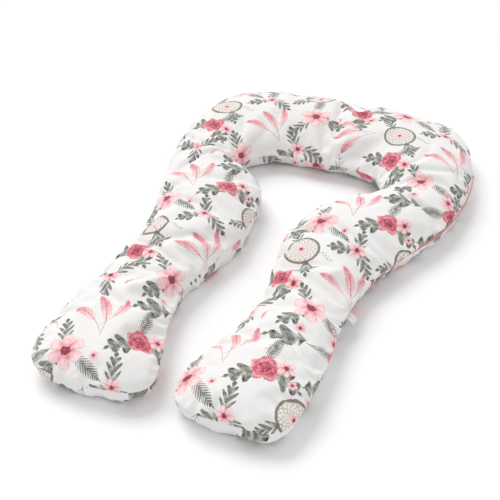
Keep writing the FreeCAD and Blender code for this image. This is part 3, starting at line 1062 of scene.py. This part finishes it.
def nearest_edge(x, y):
    return int(np.argmin(np.hypot(edge[:, 0] - x * MM, edge[:, 1] - y * MM)))


ZIPPER_TOP = nearest_edge(400, -79)
ZIPPER_END = nearest_edge(272, -618)


def seam_path(first, last, spacing):
    """Evenly spaced places along the side seam, and the outward direction at each."""
    numbers = np.arange(first, last + 1)
    walked = edge_along[numbers] - edge_along[first]
    even = np.arange(0, walked[-1], spacing)
    place = np.c_[np.interp(even, walked, edge[numbers, 0]), np.interp(even, walked, edge[numbers, 1])]
    out = np.c_[np.interp(even, walked, outward[numbers, 0]), np.interp(even, walked, outward[numbers, 1])]
    return place, out / np.linalg.norm(out, axis=1)[:, None]


def swept(name, path, out, profile):
    """A closed profile of (outward, upward) offsets carried along the seam. It may change on the way."""
    rows = []
    for number, (spot, way) in enumerate(zip(path, out)):
        for outward_by, upward_by in profile(number):
            x, y = spot + way * outward_by
            rows.append((x, y, SEAM_HEIGHT + upward_by))
    width = len(profile(0))
    faces = []
    for ring in range(len(path) - 1):
        for corner in range(width):
            after = (corner + 1) % width
            faces.append((ring * width + corner, ring * width + after,
                          (ring + 1) * width + after, (ring + 1) * width + corner))
    mesh = bpy.data.meshes.new(name)
    caps = [tuple(range(width))[::-1], tuple(range((len(path) - 1) * width, len(path) * width))]
    mesh.from_pydata(rows, [], faces + caps)
    mesh.update()
    smooth_shading(mesh)
    return new_object(name, mesh)


def on_right_leg(thing, material, node):
    dress(thing, material)
    bend_with_leg(thing)
    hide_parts(node)


tape_place, tape_out = seam_path(ZIPPER_TOP, ZIPPER_END, 3 * MM)
coil_place, coil_out = seam_path(ZIPPER_TOP, ZIPPER_END, 0.6 * MM)

for name, up in (("zipper_tape_upper", 1), ("zipper_tape_lower", -1)):

    def tape_profile(number):
        edge_line = [(1.1, 0.8), (1.8, 0.9), (1.9, 2.2), (1.3, 3.4), (0.6, 3.3), (0.9, 2.1)]
        return [(a * MM, up * b * MM) for a, b in edge_line][::up]

    on_right_leg(swept(name + "_cloth", tape_place, tape_out, tape_profile), TAPE, name)

for name, up in (("zipper_coil_upper", 1), ("zipper_coil_lower", -1)):

    def coil_profile(number):
        thick = 0.75 + 0.22 * math.sin(number * 2 * math.pi / 3.0 + (up > 0) * math.pi)
        ring = []
        for corner in range(6):
            turn = corner * math.pi / 3
            ring.append(((2.2 + thick * math.cos(turn)) * MM, (up * 0.85 + thick * math.sin(turn)) * MM))
        return ring

    on_right_leg(swept(name + "_teeth", coil_place, coil_out, coil_profile), COIL, name)

for node_name in ("zipper_stop_closed_end", "zipper_stop_open_end"):
    dress(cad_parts[node_name], COIL)
dress(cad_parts["zipper_slider"], PAINTED)
dress(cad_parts["zipper_pull_tab"], PULL)

# ---------------------------------------------------------------- side label

LABEL_ROOT = (0.2556, -0.7504, SEAM_HEIGHT)
LABEL_FACES = 8 + BENT_IN["right"]
LABEL_WIDTH = 0.027
LABEL_REACH = 0.01953
LABEL_DROOP = 0.015
LABEL_HALF_THICKNESS = 1.1 * MM


def side_label():
    """A folded loop of tape that stands out of the seam and droops a little."""
    root = Vector(LABEL_ROOT)
    facing = math.radians(LABEL_FACES)
    out = Vector((math.cos(facing), math.sin(facing), 0))
    side = Vector((-out.y, out.x, 0))
    rows, faces = [], []
    across, around = 14, 28
    for i in range(across + 1):
        s = (i / across - 0.5) * LABEL_WIDTH
        for j in range(around):
            turn = j / around * 2 * math.pi
            far = 0.5 - 0.5 * math.cos(turn)
            half = LABEL_HALF_THICKNESS * math.sin(turn) * (0.5 + far)
            droop = -LABEL_DROOP * far ** 1.5 - 1.8 * MM * far * math.sin(s * 260)
            rows.append(root + out * (LABEL_REACH * far) + side * s + Vector((0, 0, droop + half)))
    for i in range(across):
        for j in range(around):
            after = (j + 1) % around
            faces.append((i * around + j, i * around + after, (i + 1) * around + after, (i + 1) * around + j))
    mesh = bpy.data.meshes.new("side_label_loop")
    mesh.from_pydata([tuple(r) for r in rows], [], faces)
    mesh.update()
    smooth_shading(mesh)
    thing = new_object("side_label_loop", mesh)
    dress(thing, LABEL)
    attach(thing, "label")
    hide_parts("side_label")


side_label()

# ---------------------------------------------------------------- floor, light and camera

FLOOR = 30
CAMERA_AZIMUTH = math.radians(21.25)
CAMERA_ELEVATION = math.radians(36.29)
CAMERA_TARGET = Vector((-0.0548, -0.5452, 0.0))
CAMERA_DISTANCE = 2.518


def floor():
    corners = [(-FLOOR, -FLOOR, 0), (FLOOR, -FLOOR, 0), (FLOOR, FLOOR, 0), (-FLOOR, FLOOR, 0)]
    mesh = new_mesh("floor", corners, [(0, 1, 2, 3)])
    thing = new_object("floor", mesh)
    material, g, surface = principled("floor_white")
    place = g.node("ShaderNodeTexCoord").outputs["Object"]
    tone = g.mix(g.noise(place, 1.5), (0.93, 0.93, 0.935, 1), (0.95, 0.95, 0.95, 1))
    link(g.tree, tone, surface.inputs["Base Color"])
    surface.inputs["Roughness"].default_value = 0.9
    dress(thing, material)


def lamp(name, spot, aim, size, power):
    light = bpy.data.lights.new(name, "AREA")
    light.shape = "DISK"
    light.size = size
    light.energy = power
    thing = bpy.data.objects.new(name, light)
    bpy.context.scene.collection.objects.link(thing)
    thing.location = spot
    thing.rotation_euler = (Vector(aim) - Vector(spot)).to_track_quat("-Z", "Y").to_euler()


def sun(name, from_way, power, spread):
    light = bpy.data.lights.new(name, "SUN")
    light.energy = power
    light.angle = math.radians(spread)
    thing = bpy.data.objects.new(name, light)
    bpy.context.scene.collection.objects.link(thing)
    thing.rotation_euler = (-Vector(from_way)).to_track_quat("-Z", "Y").to_euler()


def studio():
    world = bpy.data.worlds.new("studio")
    bpy.context.scene.world = world
    world.use_nodes = True
    background = world.node_tree.nodes["Background"]
    background.inputs[0].default_value = (1.0, 0.995, 1.0, 1)
    background.inputs[1].default_value = 0.70
    sun("key", (-0.70, 0.55, 1.0), 1.65, 38)
    lamp("fill", (2.6, -2.6, 2.8), (0, -0.5, 0), 3.0, 10)
    scene = bpy.context.scene
    scene.view_settings.view_transform = "Standard"
    scene.view_settings.look = "None"


def camera():
    level = math.cos(CAMERA_ELEVATION)
    away = Vector((math.sin(CAMERA_AZIMUTH) * level, -math.cos(CAMERA_AZIMUTH) * level,
                   math.sin(CAMERA_ELEVATION)))
    data = bpy.data.cameras.new("camera")
    data.sensor_width = 36
    data.lens = 73.25
    data.clip_end = 30
    thing = bpy.data.objects.new("camera", data)
    bpy.context.scene.collection.objects.link(thing)
    thing.location = CAMERA_TARGET + away * CAMERA_DISTANCE
    thing.rotation_euler = (-away).to_track_quat("-Z", "Y").to_euler()
    bpy.context.scene.camera = thing


floor()
studio()
camera()
